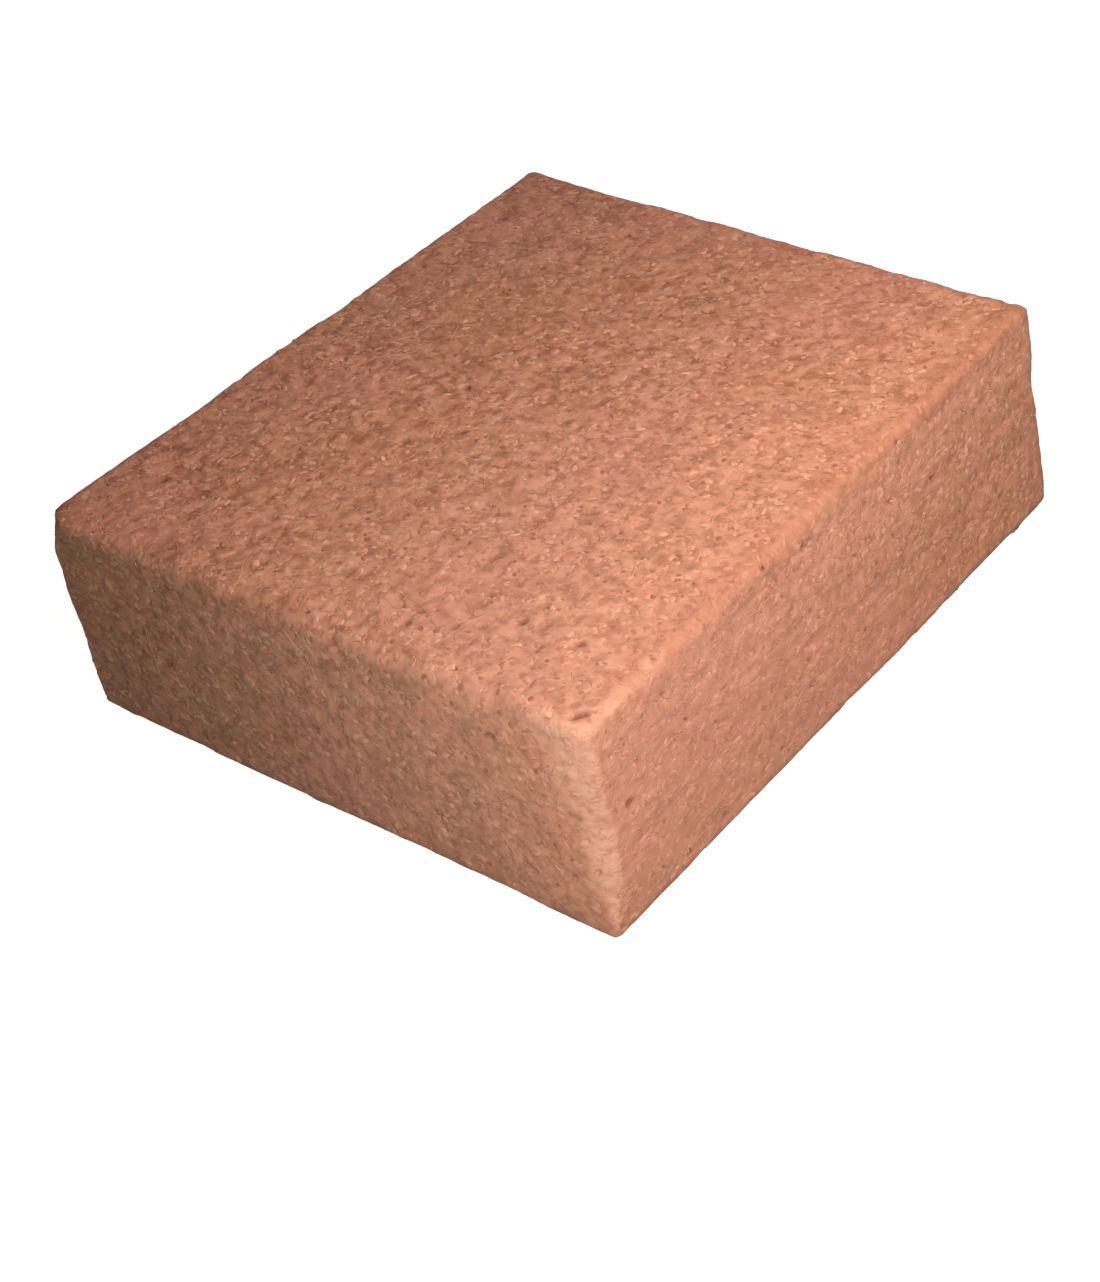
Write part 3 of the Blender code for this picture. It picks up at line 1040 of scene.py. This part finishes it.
def lying_ways(normals, spread, chance):
    """A direction in the surface for each point: any on the top, near level on the sides."""
    up = np.array([0.0, 0.0, 1.0])
    flat = np.abs(normals[:, 2]) > 0.7
    level = np.where(flat[:, None], np.array([1.0, 0.0, 0.0]), np.cross(up, normals))
    level = unit(level - normals * (level * normals).sum(1, keepdims=True))
    steep = np.cross(normals, level)
    count = len(normals)
    angle = np.where(flat, chance.uniform(0, math.pi, count), chance.normal(0, spread, count))
    return level * np.cos(angle)[:, None] + steep * np.sin(angle)[:, None]


# %% Copies of a form, each ring of points set down on the skin
# How far all stay above the floor, how far from level they lie on the sides, then how deep each
# waves as a share of its length, and how fast
FLOOR_GAP = 0.0002
SPREAD = 0.9
WAVE_DEPTH = 0.02
WAVES = 9
BOW_MIDDLE = 0.08


def strew(name, form, spots, normals, sizes, bends, lift, rise, chance, ways=None):
    """One mesh of many copies of the form, laid along the skin from each spot."""
    lengths, widths, heights = sizes.T
    pattern = points_of(form.data)
    stations = np.unique(np.round(pattern[:, 0], 4))
    ring_of = np.searchsorted(stations, np.round(pattern[:, 0], 4))
    count = len(spots)
    if ways is None:
        ways = lying_ways(normals, SPREAD, chance)
    aside = np.cross(normals, ways)
    run = stations[None, :] * lengths[:, None]
    bow = bends[:, None] * lengths[:, None] * (stations[None, :] ** 2 - BOW_MIDDLE)
    depth = chance.normal(0, WAVE_DEPTH, (count, 1))
    wave = depth * np.sin(stations[None, :] * WAVES + chance.uniform(0, 6, (count, 1)))
    sway = bow + wave * lengths[:, None]
    line = spots[:, None, :] + ways[:, None, :] * run[..., None] + aside[:, None, :] * sway[..., None]
    outward = np.empty_like(line)
    for copy in range(count):
        for ring in range(len(stations)):
            place, normal, _, _ = surface.find_nearest(Vector(line[copy, ring]))
            line[copy, ring] = place
            outward[copy, ring] = normal
    outward = unit(outward + outward.mean(axis=1, keepdims=True))
    forward = unit(np.gradient(line, axis=1))
    across = unit(np.cross(outward, forward))
    rings = line[:, ring_of]
    placed = rings + across[:, ring_of] * (pattern[None, :, 1:2] * widths[:, None, None])
    height = pattern[None, :, 2:3] * heights[:, None, None] + (lift * heights)[:, None, None]
    loose = rise * chance.uniform(0.3, 1, (count, 1)) * (stations[None, :] + 0.5) ** 1.6
    placed = placed + outward[:, ring_of] * (height + loose[:, ring_of, None])
    placed[..., 2] = np.maximum(placed[..., 2], FLOOR_GAP)
    return join_copies(name, form.data, placed, chance)


def join_copies(name, pattern, placed, chance):
    """A mesh with the pattern's faces once for each copy, a tone for each, and a cell of the map."""
    count, points = placed.shape[:2]
    starts = np.empty(len(pattern.polygons), np.int32)
    pattern.polygons.foreach_get("loop_start", starts)
    corners = np.empty(len(pattern.loops), np.int32)
    pattern.loops.foreach_get("vertex_index", corners)
    shift = np.arange(count)[:, None]
    mesh = bpy.data.meshes.new(name)
    mesh.vertices.add(count * points)
    mesh.loops.add(count * len(corners))
    mesh.polygons.add(count * len(starts))
    mesh.vertices.foreach_set("co", placed.astype(np.float32).ravel())
    used = (corners[None, :] + shift * points).ravel().astype(np.int32)
    mesh.loops.foreach_set("vertex_index", used)
    first = (starts[None, :] + shift * len(corners)).ravel().astype(np.int32)
    mesh.polygons.foreach_set("loop_start", first)
    mesh.update(calc_edges=True)
    smooth = np.full(count * len(starts), pattern.polygons[0].use_smooth)
    mesh.polygons.foreach_set("use_smooth", smooth)
    tone = mesh.attributes.new("tone", "FLOAT", "POINT")
    tone.data.foreach_set("value", np.repeat(chance.uniform(0, 1, count), points).astype(np.float32))
    pattern_places = points_of(pattern)
    angle = np.arctan2(pattern_places[:, 2], pattern_places[:, 1]) / (2 * math.pi) + 0.5
    own = np.column_stack([pattern_places[:, 0] + 0.5, angle]) * 0.8 + 0.1
    cells = math.ceil(math.sqrt(count))
    corner = np.column_stack([np.arange(count) % cells, np.arange(count) // cells])
    places = (corner[:, None, :] + own[corners][None, :, :]) / cells
    mesh.uv_layers.new(name=MAP).data.foreach_set("uv", places.astype(np.float32).ravel())
    keep_place_marks(mesh)
    piece = bpy.data.objects.new(name, mesh)
    bpy.context.scene.collection.objects.link(piece)
    return piece


# %% Their finish
def strand_material(name, dark, light, roughness=0.8):
    """From dark to light by each strand's own tone, with a fine streak along it."""
    material, shader = new_material(name, light, roughness)
    shader.inputs["Specular IOR Level"].default_value = 0.3
    tree = material.node_tree
    tone = read_mark(tree, "tone")
    solid = add_node(tree, "ShaderNodeTexCoord").outputs["Object"]
    grime = noise_at(tree, solid, 420.0, 2.0).outputs["Fac"]
    patches = noise_at(tree, solid, 60.0, 1.0).outputs["Fac"]
    grimy = times(tree, stretch(tree, grime, 0.35, 0.65), 0.4)
    coloured = blend_colours(tree, sum_of(tree, times(tree, tone, 0.6), grimy), dark, light)
    dusty = tuple(0.8 * value for value in dark)
    duller = times(tree, stretch(tree, patches, 0.5, 0.3), 0.4)
    coloured = blend_colours(tree, duller, coloured, dusty)
    # Pale wear along the edges, and the painted highlight by the near corner, as on the pith
    wear_and_highlight = read_mark(tree, "wear_and_highlight")
    coloured = blend_colours(tree, times(tree, wear_and_highlight, MIXES["strands worn"]), coloured, PALE_WEAR_AND_HIGHLIGHT)
    smoother = read_mark(tree, "smoother")
    coloured = blend_colours(tree, times(tree, smoother, MIXES["strands evened"]), coloured, EVENED)
    # Painted shade and the other tones of the place, as on the pith
    coloured = place_tints(tree, coloured)
    tree.links.new(coloured, shader.inputs["Base Color"])
    return material


def finish_piece(piece, material):
    piece.data.materials.append(material)
    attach(piece, "root")
    piece.data.calc_loop_triangles()
    print(piece.name, "triangles:", len(piece.data.loop_triangles))


# %% What is strewn
# For each kind: form, how many, then the least and greatest length, width and height in mm, how
# far it bends, how far it stands out of the pith in heights, how far one end rises in mm, and its
# dark and light colour
KINDS = {
    "pale_flecks": (fleck_form, 5600, (1.8, 1.3, 0.2), (5.0, 2.6, 0.4), 0.55, 0.00, 0.0,
                    (0.560, 0.235, 0.140), (0.710, 0.350, 0.228)),
    "tan_flecks": (fleck_form, 4600, (1.8, 1.3, 0.2), (4.6, 2.8, 0.45), 0.55, 0.00, 0.0,
                   (0.450, 0.168, 0.094), (0.590, 0.246, 0.147)),
    "fine_fibres": (fibre_form, 2600, (3.5, 0.28, 0.24), (9.0, 0.50, 0.36), 0.8, 0.10, 0.0,
                    (0.500, 0.215, 0.127), (0.700, 0.360, 0.230)),
    "dark_bits": (fleck_form, 900, (1.6, 1.4, 0.25), (3.4, 2.8, 0.4), 0.3, -0.03, 0.0,
                  (0.310, 0.108, 0.054), (0.430, 0.160, 0.088)),
    "pith_grains": (grain_form, 5000, (1.6, 1.3, 0.3), (4.0, 3.2, 0.7), 0.0, -0.05, 0.0,
                    (0.390, 0.145, 0.078), (0.620, 0.270, 0.165)),
    "long_threads": (thread_form, 90, (18.0, 0.28, 0.28), (50.0, 0.45, 0.40), 0.35, 0.20, 0.0,
                     (0.520, 0.245, 0.148), (0.720, 0.400, 0.255)),
    "loose_ends": (fibre_form, 200, (4.0, 0.22, 0.22), (9.0, 0.36, 0.36), 0.9, 0.30, 1.2,
                   (0.520, 0.250, 0.150), (0.780, 0.480, 0.320)),
}

for order, (name, kind) in enumerate(KINDS.items()):
    form, count, least, most, bend, lift, rise, dark, light = kind
    chance = np.random.default_rng(100 + order)
    spots, normals = random_spots(count, chance)
    sizes = chance.uniform(least, most, (count, 3)) / 1000
    bends = chance.normal(0, bend, count)
    piece = strew(name, form, spots, normals, sizes, bends, lift, rise / 1000, chance)
    finish_piece(piece, strand_material(name, dark, light))

# %% [markdown]
# One long fibre can be told apart in the picture. It hangs down the left face near its far end.

# %% The plain fibre
chance = np.random.default_rng(7)
hang_from = np.array([[-0.0925, -0.1600, 0.0390]])
facing = np.array([[0.0, -1.0, 0.0]])
downwards = unit(np.array([[0.10, 0.0, -1.0]]))
hang_size = np.array([[0.044, 0.0009, 0.0004]])
hang_bend = np.array([0.05])
hanging = strew(
    "plain_fibre", thread_form, hang_from, facing, hang_size, hang_bend, 0.1, 0.0, chance, downwards
)
finish_piece(hanging, strand_material("plain_fibre", (0.480, 0.240, 0.150), (0.620, 0.350, 0.230)))

# %% Put the forms away
for form in FORMS:
    bpy.data.objects.remove(form)
